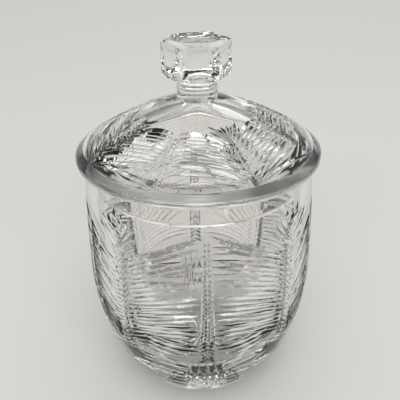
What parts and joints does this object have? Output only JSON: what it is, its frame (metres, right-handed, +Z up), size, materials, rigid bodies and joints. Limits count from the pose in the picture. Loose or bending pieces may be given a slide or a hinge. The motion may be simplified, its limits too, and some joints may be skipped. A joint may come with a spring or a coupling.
{
  "type": "cut glass biscuit jar",
  "caption": "Barrel-shaped cut crystal biscuit jar with a lift-off domed lid, a locating ring under it and a faceted finial to lift it by.",
  "frame": {"origin": "centre of the flat base, on the surface that the jar stands on", "axes": "+Z up along the axis of the barrel, -Y is the side seen in the reference view, +X is to its right"},
  "size_m": [0.1334, 0.1334, 0.206],
  "materials": {
    "jar_crystal": "polished clear crystal with wheel-cut pattern",
    "lid_crystal": "polished clear crystal with wheel-cut pattern",
    "knob_crystal": "polished clear crystal, faceted"
  },
  "bodies": {
    "jar": {"jar": "jar_crystal"},
    "lid": {"lid": "lid_crystal", "lid_knob": "knob_crystal"}
  },
  "joints": [
    {"name": "lid_lift", "type": "slide", "parent": "jar", "child": "lid", "axis": [0, 0, 1], "range_m": [0, 0.12]}
  ]
}
